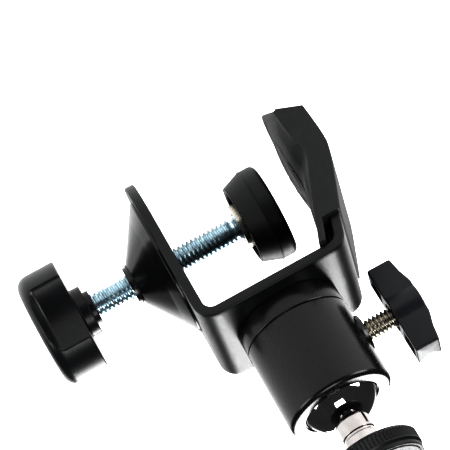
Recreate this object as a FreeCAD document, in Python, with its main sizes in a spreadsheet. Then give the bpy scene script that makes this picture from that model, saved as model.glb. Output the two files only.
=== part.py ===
"""Table clamp with a ball head: a bent steel jaw frame, a clamp screw with a star knob and a swivel
pad, and a ball joint on the frame's back with a wing screw that locks it.

Frame: the origin is on the clamp screw's axis, where a clamped tube or board meets the fixed jaw.
+X runs along the clamp screw towards its knob, +Z along the ball head's axis away from the jaws,
and Y is the width of the bent strip.  All lengths are millimetres and all angles are degrees.
"""
import FreeCAD, Part
import Sketcher
import math
import os

from FreeCAD import Placement, Rotation, Vector

doc = FreeCAD.newDocument("TableClamp")

# ---------------------------------------------------------------------------------------------
# driving dimensions
# ---------------------------------------------------------------------------------------------
SIZES = [
    # bent steel strip
    ("strip_width", 43.0, "width of the strip"),
    ("strip_thick", 3.0, "thickness of the strip"),
    ("bend_inner", 3.0, "inside radius of the bends"),
    ("throat_open", 46.8, "fixed jaw's grip face to the screw flange"),
    ("throat_length", 41.0, "inside length of the web between its two bends"),
    ("throat_depth", 29.4, "clamp screw's axis to the web"),
    ("flange_reach", 27.0, "clamp screw's axis to the screw flange's rounded end"),
    ("jaw_lean", 16.5, "lean of the jaw's lower leg"),
    ("jaw_kick", 3.5, "lean back of the jaw's upper leg"),
    ("jaw_bend_height", 1.5, "height of the jaw's shallow bend"),
    ("jaw_point", 29.25, "clamp screw's axis to the point of the boot's gabled end"),
    ("gable_shoulder", 15.8, "clamp screw's axis to the shoulders of the gabled end"),
    ("gable_slope", 0.62, "drop of the gable for each millimetre across"),
    ("gable_flat", 4.0, "half width of the gable's blunt point"),
    # rubber boot over the jaw
    ("boot_wall", 2.2, "rubber over the jaw's faces"),
    ("boot_hem_wall", 0.6, "rubber over the jaw's outer face at the hem"),
    ("boot_side", 2.0, "rubber beside the jaw's edges"),
    ("boot_lean", 20.7, "lean of the boot's lower grip face"),
    ("boot_hem", 7.0, "web's inner face to the boot's lower hem"),
    ("boot_tab", 2.0, "thickness of the boot's tab that stands on the web"),
    ("boot_tab_gap", 0.4, "free height under the boot's tab"),
    # clamp screw
    ("rod_radius", 3.97, "clamp screw's outside radius"),
    ("running_gap", 0.05, "radial play of a screw, shaft or pin in its hole"),
    ("boss_radius", 21.5, "foot of the conical boss"),
    ("boss_tip_radius", 6.1, "small end of the conical boss"),
    ("boss_height", 11.0, "height of the conical boss"),
    ("boss_rim", 0.8, "straight rim at the foot of the boss"),
    ("bush_radius", 5.2, "threaded bush's outside radius"),
    ("bush_collar", 5.9, "radius of the bush's end collar"),
    ("bush_collar_height", 1.0, "height of the bush's end collar"),
    # star knob
    ("knob_radius", 17.6, "star knob's radius over its lobes"),
    ("knob_height", 13.0, "star knob's thickness"),
    ("knob_start", 78.6, "star knob's inner face"),
    ("knob_lobes", 3, "number of lobes"),
    ("flute_radius", 18.2, "radius of the scoops between lobes"),
    ("flute_centre", 29.5, "scoops' axis to the knob's axis"),
    ("flute_floor", 1.8, "thickness left at the outer face"),
    ("knob_turn", 14.2, "turn of the first scoop at rest, from the direction opposite to the ball head"),
    ("hub_radius", 7.6, "star knob's hub"),
    ("hub_height", 3.2, "height of the hub"),
    ("hub_lip_radius", 5.35, "small step on the hub"),
    ("hub_lip_height", 1.6, "height of the small step"),
    ("insert_radius", 6.0, "steel insert's outside radius"),
    ("insert_length", 10.0, "length of the steel insert"),
    # swivel pad
    ("pad_face", 13.3, "swivel pad's face at rest"),
    ("pad_radius", 14.45, "swivel pad's radius"),
    ("pad_band", 5.0, "straight band behind the pad's face"),
    ("pad_rear_radius", 12.2, "swivel pad's rear rim"),
    ("pad_depth", 11.0, "swivel pad's whole depth"),
    ("pad_skin", 1.3, "wall of the pad's rear skirt"),
    ("pad_floor", 3.6, "rubber between the pad's face and its steel cup"),
    ("cup_radius", 9.6, "steel cup's plate"),
    ("cup_plate", 1.2, "thickness of the cup's plate"),
    ("cup_collar", 7.0, "outside radius of the cup's collar"),
    ("swivel_radius", 4.8, "ball on the end of the clamp screw"),
    ("swivel_mouth", 2.7, "swivel ball's centre to the cup's open end"),
    ("neck_radius", 2.8, "pin behind the swivel ball"),
    ("rod_start", 4.6, "swivel ball's centre to the threaded rod's end"),
    ("neck_hold", 4.0, "length of the pin inside the rod"),
    ("mouth_low", 0.3, "cup's mouth wider than the pin at the ball's centre"),
    ("mouth_high", 0.8, "cup's mouth wider than the ball at its open end"),
    ("pin_room", 0.1, "free depth beyond a pin or screw in its hole"),
    # ball head
    ("base_radius", 15.9, "radius of the ball head's base"),
    ("base_height", 6.6, "height of the base"),
    ("spigot_radius", 13.5, "base's spigot and the cradle inside the housing"),
    ("spigot_height", 2.0, "height of the base's spigot"),
    ("housing_radius", 16.0, "housing's outside radius"),
    ("housing_height", 26.8, "housing's height"),
    ("housing_round", 1.4, "rounding of the housing's mouth"),
    ("ball_radius", 12.5, "ball's radius"),
    ("ball_height", 6.1, "housing's mouth above the ball's centre"),
    ("ball_gap", 0.2, "play between the ball and the housing's lip"),
    ("lip_depth", 2.3, "depth of the lip that holds the seat ring"),
    ("seat_height", 7.5, "height of the seat ring"),
    ("cradle_height", 12.0, "height of the cradle under the ball"),
    ("cradle_gap", 0.4, "play between the ball and the cradle's bowl"),
    ("stem_radius", 5.0, "stem between the ball and the platform"),
    ("stem_spigot", 3.5, "stem's spigot inside the ball"),
    ("stem_sink", 6.0, "length of the spigot"),
    ("platform_radius", 14.0, "platform's radius"),
    ("platform_height", 5.0, "platform's thickness"),
    ("platform_lift", 22.3, "platform above the ball's centre"),
    ("facing_height", 1.5, "thickness of the platform's facing"),
    ("stud_radius", 3.175, "stud's outside radius"),
    ("stud_length", 5.4, "threaded length of the stud"),
    ("stud_relief", 0.1, "plain neck between the facing and the thread"),
    ("stud_neck", 2.6, "radius of the stud's neck and of its shank in the platform"),
    ("stud_sink", 3.5, "length of the stud inside the platform"),
    # screw that holds the base to the strip
    ("base_screw_radius", 3.0, "base screw's shank"),
    ("base_screw_head", 5.6, "radius of the countersunk head"),
    ("base_screw_length", 8.6, "length of the base screw"),
    ("socket_width", 4.0, "hexagon socket across its flats"),
    ("socket_depth", 1.8, "depth of the hexagon socket"),
    # wing screw
    ("wing_height", 49.3, "wing screw's axis above the clamp screw's axis"),
    ("set_radius", 3.175, "wing screw's outside radius"),
    ("set_tip", 13.0, "head's axis to the wing screw's tip"),
    ("wing_face", 25.4, "head's axis to the wing knob's inner face"),
    ("wing_length", 29.0, "wing knob over its wings"),
    ("wing_breadth", 10.0, "wing knob's breadth at its ends"),
    ("wing_depth", 7.4, "wing knob's thickness at its ends"),
    ("wing_hub", 6.2, "radius of the wing knob's hub"),
    ("wing_crown", 9.4, "wing knob's thickness at its middle"),
    ("wing_insert", 4.4, "brass insert's outside radius"),
    ("wing_insert_length", 6.5, "length of the brass insert"),
    ("side_boss_radius", 5.4, "raised boss around the wing screw"),
    ("side_boss_height", 0.7, "height of the raised boss"),
    ("fit_gap", 0.03, "play between pieces that are fixed together"),
    ("overrun", 1.0, "how far a cutting body stands past what it cuts"),
]

sheet = doc.addObject("Spreadsheet::Sheet", "Sizes")
for row, (alias, value, meaning) in enumerate(SIZES, start=1):
    sheet.set("A%d" % row, str(value))
    sheet.setAlias("A%d" % row, alias)
    sheet.set("B%d" % row, meaning)
doc.recompute()


def bound(text):
    """Return an expression with every alias pointed at the sheet."""
    names = sorted((alias for alias, value, meaning in SIZES), key=len, reverse=True)
    out = []
    for word in _words(text):
        out.append("Sizes." + word if word in names else word)
    return "".join(out)


def _words(text):
    """Split an expression into words and the characters between them."""
    words = []
    word = ""
    for letter in text:
        if letter.isalnum() or letter == "_" or letter == ".":
            word += letter
            continue
        if word:
            words.append(word)
            word = ""
        words.append(letter)
    if word:
        words.append(word)
    return words


def number(text):
    """Value of an expression in the sheet's sizes."""
    return float(sheet.evalExpression(bound(str(text))))


# places that several pieces share, written once as expressions
FLANGE_OUT = "(throat_open + strip_thick)"
HEAD_X = "(throat_open - throat_length / 2)"
WEB_OUT = "(throat_depth + strip_thick)"
BASE_TOP = "(throat_depth + strip_thick + base_height)"
MOUTH = "(throat_depth + strip_thick + base_height + housing_height)"
BALL_Z = "(throat_depth + strip_thick + base_height + housing_height - ball_height)"
SWIVEL_X = "(pad_face + pad_floor + cup_plate + swivel_radius)"
ROD_START = "(pad_face + pad_floor + cup_plate + swivel_radius + rod_start)"
JAW_X = "(throat_open - throat_length - (throat_depth - jaw_bend_height) * tan(jaw_lean))"


# ---------------------------------------------------------------------------------------------
# building blocks
# ---------------------------------------------------------------------------------------------
def place(thing, x="0", y="0", z="0", turn=None):
    """Bind a piece's position to the sheet, and give it a fixed turn."""
    if turn is not None:
        thing.Placement = Placement(Vector(0, 0, 0), turn)
    thing.setExpression("Placement.Base.x", bound(x))
    thing.setExpression("Placement.Base.y", bound(y))
    thing.setExpression("Placement.Base.z", bound(z))
    return thing


ALONG_X = Rotation(Vector(0, 1, 0), 90)
ALONG_MINUS_X = Rotation(Vector(0, 1, 0), -90)


def cylinder(name, radius, height, x="0", y="0", z="0", turn=Rotation()):
    """A cylinder with its radius, height and place bound to the sheet."""
    thing = doc.addObject("Part::Cylinder", name)
    thing.setExpression("Radius", bound(radius))
    thing.setExpression("Height", bound(height))
    return place(thing, x, y, z, turn)


def cone(name, radius_low, radius_high, height, x="0", y="0", z="0", turn=Rotation()):
    """A truncated cone bound to the sheet."""
    thing = doc.addObject("Part::Cone", name)
    thing.setExpression("Radius1", bound(radius_low))
    thing.setExpression("Radius2", bound(radius_high))
    thing.setExpression("Height", bound(height))
    return place(thing, x, y, z, turn)


def sphere(name, radius, x="0", y="0", z="0"):
    """A sphere bound to the sheet."""
    thing = doc.addObject("Part::Sphere", name)
    thing.setExpression("Radius", bound(radius))
    return place(thing, x, y, z)


def block(name, low, size):
    """A box from its lowest corner and its three lengths."""
    thing = doc.addObject("Part::Box", name)
    thing.setExpression("Length", bound(size[0]))
    thing.setExpression("Width", bound(size[1]))
    thing.setExpression("Height", bound(size[2]))
    return place(thing, low[0], low[1], low[2])


def fuse(name, things):
    """Several shapes joined into one."""
    thing = doc.addObject("Part::MultiFuse", name)
    thing.Shapes = things
    return thing


def cut(name, base, tools):
    """A shape with one or more tools taken away."""
    thing = doc.addObject("Part::Cut", name)
    thing.Base = base
    thing.Tool = tools[0] if len(tools) == 1 else fuse(name + "_tools", tools)
    return thing


def origin_plane(body, role):
    """The origin plane of a body, found by its role."""
    return next(item for item in body.Origin.OriginFeatures if item.Role == role)


def outline(body, role, corners, name):
    """A closed sketch of straight lines whose every corner is bound to the sheet."""
    sketch = body.newObject("Sketcher::SketchObject", name)
    sketch.AttachmentSupport = [(origin_plane(body, role), "")]
    sketch.MapMode = "FlatFace"
    points = [Vector(number(across), number(up), 0) for across, up in corners]
    count = len(points)
    for index in range(count):
        line = Part.LineSegment(points[index], points[(index + 1) % count])
        sketch.addGeometry(line, False)
    for index in range(count):
        sketch.addConstraint(make("Coincident", index, 2, (index + 1) % count, 1))
    for index, (across, up) in enumerate(corners):
        spot = points[index]
        for kind, text, value in (("DistanceX", across, spot.x), ("DistanceY", up, spot.y)):
            place_index = sketch.addConstraint(make(kind, index, 1, value))
            sketch.setExpression("Constraints[%d]" % place_index, bound(text))
    return sketch


def make(*words):
    """A sketch constraint."""
    return Sketcher.Constraint(*words)


def turned(name, corners, x="0", y="0", z="0", turn=Rotation()):
    """A body turned about its own Z axis from (radius, height) corners."""
    body = doc.addObject("PartDesign::Body", name)
    sketch = outline(body, "XZ_Plane", corners, name + "_profile")
    spin = body.newObject("PartDesign::Revolution", name + "_turned")
    spin.Profile = sketch
    spin.ReferenceAxis = (sketch, ["V_Axis"])
    spin.Angle = 360.0
    return place(body, x, y, z, turn)


def plate(name, role, corners, width):
    """A body padded to both sides of one of its origin planes."""
    body = doc.addObject("PartDesign::Body", name)
    sketch = outline(body, role, corners, name + "_profile")
    pad = body.newObject("PartDesign::Pad", name + "_padded")
    pad.Profile = sketch
    pad.setExpression("Length", bound(width))
    pad.Midplane = True
    return body


def edges_along_y(shape, spots):
    """Names of the edges that run along Y through the given (x, z) spots."""
    found = []
    for index, edge in enumerate(shape.Edges, start=1):
        first = edge.Vertexes[0].Point
        last = edge.Vertexes[-1].Point
        if abs(first.x - last.x) > 1e-4 or abs(first.z - last.z) > 1e-4:
            continue
        if any(math.hypot(first.x - x, first.z - z) < 1e-3 for x, z in spots):
            found.append("Edge%d" % index)
    return found


def round_bends(body, name, spots, radius):
    """Round the body's edges along Y at the given spots."""
    doc.recompute()
    before = body.Tip
    bends = edges_along_y(body.Shape, [(number(x), number(z)) for x, z in spots])
    fillet = body.newObject("PartDesign::Fillet", name)
    fillet.Base = (before, bends)
    fillet.setExpression("Radius", bound(radius))
    body.Tip = fillet
    return fillet


NODES = {}


def node(name, thing):
    """Give a finished piece the name of its file."""
    thing.Label = name
    NODES[name] = thing
    return thing


# ---------------------------------------------------------------------------------------------
# bent steel frame
# ---------------------------------------------------------------------------------------------
def end_trim(name, low_x, long_x, reach, radius):
    """What is taken off a leg to leave a round end: a box with a cylinder taken out of it."""
    rest = "(%s - %s)" % (reach, radius)
    box = block(name + "_box", (low_x, "-(%s) - 2" % radius, "-(%s) - 2" % reach),
                (long_x, "2 * (%s) + 4" % radius, "(%s) + 2" % radius))
    bar = cylinder(name + "_bar", radius, long_x + " + 2", low_x + " - 1", "0", "-" + rest, ALONG_X)
    return cut(name, box, [bar])


def gable_trim(name, half, inset):
    """What is taken off a leg to leave a gabled end, for a half width and a set-in from the boot."""
    boot_half = "(strip_width / 2 + boot_side)"
    rise = "(%s) * sqrt(1 + gable_slope ^ 2)" % inset
    side = "%s - gable_shoulder - gable_slope * (%s - (%s))" % (rise, boot_half, half)
    knee = "%s - gable_shoulder - gable_slope * (%s - gable_flat)" % (rise, boot_half)
    beyond = "%s + 2 * overrun" % half
    below = "-jaw_point - 2 * overrun"
    corners = [
        ("-(%s)" % beyond, side),
        ("-(%s)" % half, side),
        ("-gable_flat", knee),
        ("0", rise + " - jaw_point"),
        ("gable_flat", knee),
        (half, side),
        (beyond, side),
        (beyond, below),
        ("-(%s)" % beyond, below),
    ]
    return plate(name, "YZ_Plane", corners, "throat_length")


def jaw_line(face_x, offset, height):
    """Places along the jaw's two legs: a face set off outwards from the inner one, at a height."""
    lower = "(%s - (%s - (%s)) * tan(jaw_lean) - (%s) / cos(jaw_lean))"
    return lower % (face_x, "throat_depth", height, offset)


def leg_corner(offset):
    """Where the jaw's two legs meet, on a face set off outwards by an amount: (x, z)."""
    z = ("(jaw_bend_height + (%s) * (1 / cos(jaw_lean) - 1 / cos(jaw_kick))"
         " / (tan(jaw_lean) + tan(jaw_kick)))" % offset)
    x = "(%s + (%s - jaw_bend_height) * tan(jaw_lean) - (%s) / cos(jaw_lean))" % (JAW_X, z, offset)
    return x, z


def upper_leg(offset, z):
    """x on the jaw's upper leg at a height, on a face set off outwards by an amount."""
    return "(%s + (jaw_bend_height - (%s)) * tan(jaw_kick) - (%s) / cos(jaw_kick))" % (JAW_X, z, offset)


def bent_frame():
    """The one strip that makes the screw flange, the web and the jaw."""
    jaw_foot = "(throat_open - throat_length)"
    out_foot = jaw_line(jaw_foot, "strip_thick", WEB_OUT)
    inner_bend = leg_corner("0")
    outer_bend = leg_corner("strip_thick")
    corners = [
        ("throat_open", "-flange_reach"),
        ("throat_open", "throat_depth"),
        (jaw_foot, "throat_depth"),
        inner_bend,
        (upper_leg("0", "-jaw_point"), "-jaw_point"),
        (upper_leg("strip_thick", "-jaw_point"), "-jaw_point"),
        outer_bend,
        (out_foot, WEB_OUT),
        (FLANGE_OUT, WEB_OUT),
        (FLANGE_OUT, "-flange_reach"),
    ]
    strip = plate("Strip", "XZ_Plane", corners, "strip_width")
    round_bends(strip, "InnerBends", [corners[1], corners[2], inner_bend], "bend_inner")
    outer_spots = [corners[8], (out_foot, WEB_OUT), outer_bend]
    round_bends(strip, "OuterBends", outer_spots, "bend_inner + strip_thick")
    half = "strip_width / 2"
    flange_end = end_trim("FlangeEnd", "throat_open - 2", "strip_thick + 4", "flange_reach", half)
    jaw_end = gable_trim("JawEnd", half, "boot_side")
    bush_hole = cylinder("BushHole", "bush_radius + fit_gap", "strip_thick + 2", "throat_open - 1",
                         turn=ALONG_X)
    shank_hole = cylinder("ShankHole", "base_screw_radius + fit_gap", "strip_thick + 2", HEAD_X, "0",
                          "throat_depth - 1")
    head_hole = cone("HeadHole", "base_screw_head + fit_gap", "base_screw_radius + fit_gap",
                     "base_screw_head - base_screw_radius", HEAD_X, "0", "throat_depth")
    tools = [flange_end, jaw_end, bush_hole, shank_hole, head_hole]
    node("bracket", cut("Bracket", strip, tools))


def screw_boss():
    """Conical boss on the screw flange and the threaded bush through both."""
    corners = [
        ("bush_radius + fit_gap", "0"),
        ("boss_radius", "0"),
        ("boss_radius", "boss_rim"),
        ("boss_tip_radius", "boss_height"),
        ("bush_radius + fit_gap", "boss_height"),
    ]
    node("screw_boss", turned("ScrewBoss", corners, FLANGE_OUT, turn=ALONG_X))
    bore = "rod_radius + running_gap"
    whole = "strip_thick + boss_height"
    corners = [
        (bore, "0"),
        ("bush_radius", "0"),
        ("bush_radius", whole),
        ("bush_collar", whole),
        ("bush_collar", whole + " + bush_collar_height"),
        (bore, whole + " + bush_collar_height"),
    ]
    node("thread_bush", turned("ThreadBush", corners, "throat_open", turn=ALONG_X))


def jaw_boot():
    """Rubber sleeve over the jaw, with a tab that stands on the web."""
    out = "(strip_thick + boot_wall)"
    hem = "(throat_depth - boot_hem)"
    tip = "-(jaw_point + overrun)"
    half = "(strip_width / 2 + boot_side)"
    tab_end = "(throat_depth - boot_tab_gap)"
    jaw_foot = "(throat_open - throat_length)"
    room_tip = "-jaw_point"
    room_half = "(strip_width / 2 + fit_gap)"

    def grip(z):
        """x on the boot's lower grip face."""
        return "((%s - jaw_bend_height) * tan(boot_lean))" % z

    face_tip = "((jaw_bend_height - (%s)) * tan(jaw_kick))" % tip
    outer_bend = leg_corner(out)
    out_hem = jaw_line(jaw_foot, "(strip_thick + boot_hem_wall)", hem)
    corners = [
        ("0", "jaw_bend_height"),
        (face_tip, tip),
        (upper_leg(out, tip), tip),
        outer_bend,
        (out_hem, hem),
        (grip(hem) + " - boot_tab / cos(boot_lean)", hem),
        (grip(tab_end) + " - boot_tab / cos(boot_lean)", tab_end),
        (grip(tab_end), tab_end),
    ]
    skin = plate("BootSkin", "XZ_Plane", corners, "2 * " + half)
    round_bends(skin, "BootBends", [outer_bend], "bend_inner + strip_thick + boot_wall")
    tip_trim = gable_trim("BootEnd", half, "0")
    jaw_room = [
        (upper_leg("-fit_gap", room_tip), room_tip),
        (upper_leg("strip_thick + fit_gap", room_tip), room_tip),
        leg_corner("strip_thick + fit_gap"),
        (jaw_line(jaw_foot, "strip_thick + fit_gap", "throat_depth"), "throat_depth"),
        (jaw_line(jaw_foot, "-fit_gap", "throat_depth"), "throat_depth"),
        leg_corner("-fit_gap"),
    ]
    slot = plate("BootSlot", "XZ_Plane", jaw_room, "2 * " + room_half)
    round_bends(slot, "SlotBend", [leg_corner("-fit_gap")], "bend_inner - fit_gap")
    slot_end = gable_trim("SlotEnd", room_half, "boot_side - fit_gap")
    room = cut("BootRoom", slot, [slot_end])
    node("jaw_boot", cut("JawBoot", skin, [tip_trim, room]))


# ---------------------------------------------------------------------------------------------
# clamp screw, star knob and swivel pad
# ---------------------------------------------------------------------------------------------
def clamp_screw():
    """Threaded rod with a blind hole in its front end for the swivel ball's pin."""
    rod_end = "(knob_start + insert_length)"
    rod = cylinder("RodBar", "rod_radius", rod_end + " - " + ROD_START, ROD_START, turn=ALONG_X)
    hole = cylinder("RodHole", "neck_radius + running_gap", "neck_hold + pin_room + overrun",
                    ROD_START + " - overrun", turn=ALONG_X)
    node("clamp_rod", cut("ClampRod", rod, [hole]))


def star_knob():
    """Three-lobed knob with a stepped hub and a steel insert."""
    seat = "insert_radius + fit_gap"
    deep = "insert_length + fit_gap"
    step = "hub_height + hub_lip_height"
    corners = [
        ("rod_radius + running_gap", "-(%s)" % step),
        ("hub_lip_radius", "-(%s)" % step),
        ("hub_lip_radius", "-hub_height"),
        ("hub_radius", "-hub_height"),
        ("hub_radius", "0"),
        ("knob_radius - 1", "0"),
        ("knob_radius", "1"),
        ("knob_radius", "knob_height - 3"),
        ("knob_radius - 3", "knob_height"),
        ("0", "knob_height"),
        ("0", deep),
        (seat, deep),
        (seat, "0"),
        ("rod_radius + running_gap", "0"),
    ]
    body = turned("StarKnob", corners, "knob_start", turn=ALONG_X)
    doc.recompute()
    sketch = body.newObject("Sketcher::SketchObject", "FluteCircle")
    sketch.AttachmentSupport = [(origin_plane(body, "XY_Plane"), "")]
    sketch.MapMode = "FlatFace"
    across, up = "flute_centre * cos(knob_turn)", "flute_centre * sin(knob_turn)"
    circle = Part.Circle(Vector(number(across), number(up), 0), Vector(0, 0, 1), number("flute_radius"))
    sketch.addGeometry(circle, False)
    for kind, text in (("DistanceX", across), ("DistanceY", up)):
        index = sketch.addConstraint(make(kind, 0, 3, number(text)))
        sketch.setExpression("Constraints[%d]" % index, bound(text))
    wide = sketch.addConstraint(make("Radius", 0, number("flute_radius")))
    sketch.setExpression("Constraints[%d]" % wide, bound("flute_radius"))
    doc.recompute()
    before = body.Shape.Volume
    flute = body.newObject("PartDesign::Pocket", "Flute")
    flute.Profile = sketch
    flute.setExpression("Length", bound("knob_height - flute_floor"))
    flute.Reversed = True
    doc.recompute()
    if body.Shape.Volume > before - 1.0:
        flute.Reversed = False
        doc.recompute()
    assert body.Shape.Volume < before - 1.0, "the flute cuts nothing"
    pattern = body.newObject("PartDesign::PolarPattern", "Flutes")
    pattern.Originals = [flute]
    pattern.Axis = (sketch, ["N_Axis"])
    pattern.Angle = 360.0
    pattern.setExpression("Occurrences", bound("knob_lobes"))
    body.Tip = pattern
    node("star_knob", body)
    sleeve = cylinder("InsertSleeve", "insert_radius", "insert_length - fit_gap", "knob_start + fit_gap",
                      turn=ALONG_X)
    bore = cylinder("InsertBore", "rod_radius + fit_gap", "insert_length + 2 * overrun",
                    "knob_start - overrun", turn=ALONG_X)
    node("knob_insert", cut("KnobInsert", sleeve, [bore]))


def swivel_pad():
    """Ball and pin on the rod's end, the steel cup that holds the ball, and the rubber pad."""
    ball = sphere("SwivelSphere", "swivel_radius", SWIVEL_X)
    pin = cylinder("SwivelPin", "neck_radius", "rod_start + neck_hold", SWIVEL_X, turn=ALONG_X)
    node("swivel_ball", fuse("SwivelBall", [ball, pin]))

    cup_start = "(pad_face + pad_floor)"
    disc = cylinder("CupDisc", "cup_radius", "cup_plate", cup_start, turn=ALONG_X)
    collar = cylinder("CupCollar", "cup_collar", "cup_plate + swivel_radius + swivel_mouth", cup_start,
                      turn=ALONG_X)
    socket = sphere("CupSocket", "swivel_radius + running_gap", SWIVEL_X)
    mouth = cone("CupMouth", "neck_radius + mouth_low", "swivel_radius + mouth_high",
                 "swivel_mouth + overrun", SWIVEL_X, turn=ALONG_X)
    node("pad_cup", cut("PadCup", fuse("CupBlank", [disc, collar]), [socket, mouth]))

    corners = [
        ("0", "0"),
        ("pad_radius - 1.5", "0"),
        ("pad_radius", "1.5"),
        ("pad_radius", "pad_band"),
        ("pad_rear_radius", "pad_depth"),
        ("pad_rear_radius - pad_skin", "pad_depth"),
        ("pad_radius - pad_skin - 1.2", "pad_floor"),
        ("0", "pad_floor"),
    ]
    node("rubber_pad", turned("RubberPad", corners, "pad_face", turn=ALONG_X))


# ---------------------------------------------------------------------------------------------
# ball head
# ---------------------------------------------------------------------------------------------
def head_base():
    """Base disc under the housing and the countersunk screw that holds it to the strip."""
    disc = cylinder("BaseDisc", "base_radius", "base_height", HEAD_X, "0", WEB_OUT)
    spigot = cylinder("BaseSpigot", "spigot_radius", "base_height + spigot_height", HEAD_X, "0", WEB_OUT)
    hole = cylinder("BaseHole", "base_screw_radius + fit_gap",
                    "base_screw_length - strip_thick + pin_room + overrun", HEAD_X, "0",
                    WEB_OUT + " - overrun")
    node("head_base", cut("HeadBase", fuse("BaseBlank", [disc, spigot]), [hole]))

    sink = "(base_screw_head - base_screw_radius)"
    head = cone("ScrewHead", "base_screw_head", "base_screw_radius", sink, HEAD_X, "0", "throat_depth")
    shank = cylinder("ScrewShank", "base_screw_radius", "base_screw_length", HEAD_X, "0", "throat_depth")
    hexagon = doc.addObject("Part::Prism", "ScrewSocket")
    hexagon.Polygon = 6
    hexagon.setExpression("Circumradius", bound("socket_width / 2 / cos(30)"))
    hexagon.setExpression("Height", bound("socket_depth + 1"))
    place(hexagon, HEAD_X, "0", "throat_depth - 1")
    node("base_screw", cut("BaseScrew", fuse("ScrewBlank", [head, shank]), [hexagon]))


def head_housing():
    """Turned housing with a lip at its mouth, a seat ring, and a cradle under the ball."""
    inner = "(spigot_radius + fit_gap)"
    edge = "housing_round"
    corners = [
        (inner, BASE_TOP),
        ("housing_radius", BASE_TOP),
        ("housing_radius", MOUTH + " - " + edge),
        ("housing_radius - " + edge, MOUTH),
        ("ball_radius - 3", MOUTH),
        ("ball_radius - 3", MOUTH + " - lip_depth"),
        (inner, MOUTH + " - lip_depth"),
    ]
    wall = turned("HousingWall", corners, HEAD_X)
    boss = cylinder("SideBoss", "side_boss_radius", "side_boss_height + housing_radius - spigot_radius - 1",
                    HEAD_X + " - spigot_radius - 1", "0", "wing_height", ALONG_MINUS_X)
    mouth = sphere("MouthRoom", "ball_radius + ball_gap", HEAD_X, "0", BALL_Z)
    hole = cylinder("SetHole", "set_radius + running_gap", "housing_radius", HEAD_X + " - 6", "0",
                    "wing_height", ALONG_MINUS_X)
    node("housing_shell", cut("HousingShell", fuse("HousingBlank", [wall, boss]), [mouth, hole]))

    seat_top = MOUTH + " - lip_depth - fit_gap"
    seat = cylinder("SeatDisc", "spigot_radius - running_gap", "seat_height", HEAD_X, "0",
                    seat_top + " - seat_height")
    seat_room = sphere("SeatRoom", "ball_radius + running_gap", HEAD_X, "0", BALL_Z)
    node("seat_ring", cut("SeatRing", seat, [seat_room]))

    foot = BASE_TOP + " + spigot_height + fit_gap"
    blank = cylinder("CradleBlank", "spigot_radius", "cradle_height", HEAD_X, "0", foot)
    bowl = sphere("CradleBowl", "ball_radius + cradle_gap", HEAD_X, "0", BALL_Z)
    side = cylinder("CradleHole", "set_radius + running_gap", "housing_radius", HEAD_X + " - 2", "0",
                    "wing_height", ALONG_MINUS_X)
    node("ball_cradle", cut("BallCradle", blank, [bowl, side]))


def ball_and_platform():
    """Ball, stem, platform with its facing, and the stud."""
    ball = sphere("BallSphere", "ball_radius", HEAD_X, "0", BALL_Z)
    top = "(sqrt(ball_radius ^ 2 - stem_radius ^ 2))"
    flat = cylinder("BallFlat", "stem_radius + 1", "ball_radius", HEAD_X, "0", BALL_Z + " + " + top)
    socket = cylinder("BallSocket", "stem_spigot + running_gap", "ball_radius + stem_sink", HEAD_X, "0",
                      BALL_Z + " + " + top + " - stem_sink")
    node("ball", cut("Ball", ball, [flat, socket]))

    neck = cylinder("StemNeck", "stem_radius", "platform_lift - %s - 2 * running_gap" % top, HEAD_X, "0",
                    BALL_Z + " + " + top + " + running_gap")
    spigot = cylinder("StemSpigot", "stem_spigot", "stem_sink", HEAD_X, "0",
                      BALL_Z + " + " + top + " - stem_sink + running_gap")
    node("stem", fuse("Stem", [neck, spigot]))

    deck = BALL_Z + " + platform_lift"
    disc = cylinder("PlatformDisc", "platform_radius", "platform_height", HEAD_X, "0", deck)
    hole = cylinder("PlatformHole", "stud_neck + fit_gap", "stud_sink + overrun", HEAD_X, "0",
                    deck + " + platform_height - stud_sink")
    node("platform", cut("Platform", disc, [hole]))

    face = deck + " + platform_height + facing_height"
    facing = cylinder("FacingDisc", "platform_radius - 0.5", "facing_height", HEAD_X, "0",
                      deck + " + platform_height")
    facing_hole = cylinder("FacingHole", "stud_radius + 1", "facing_height + 2 * overrun", HEAD_X, "0",
                           deck + " + platform_height - overrun")
    node("platform_facing", cut("PlatformFacing", facing, [facing_hole]))
    shank = cylinder("StudShank", "stud_neck", "stud_sink + facing_height + stud_relief - fit_gap", HEAD_X,
                     "0", deck + " + platform_height - stud_sink + fit_gap")
    thread = cylinder("StudThread", "stud_radius", "stud_length", HEAD_X, "0", face + " + stud_relief")
    node("mount_stud", fuse("MountStud", [shank, thread]))


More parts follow.
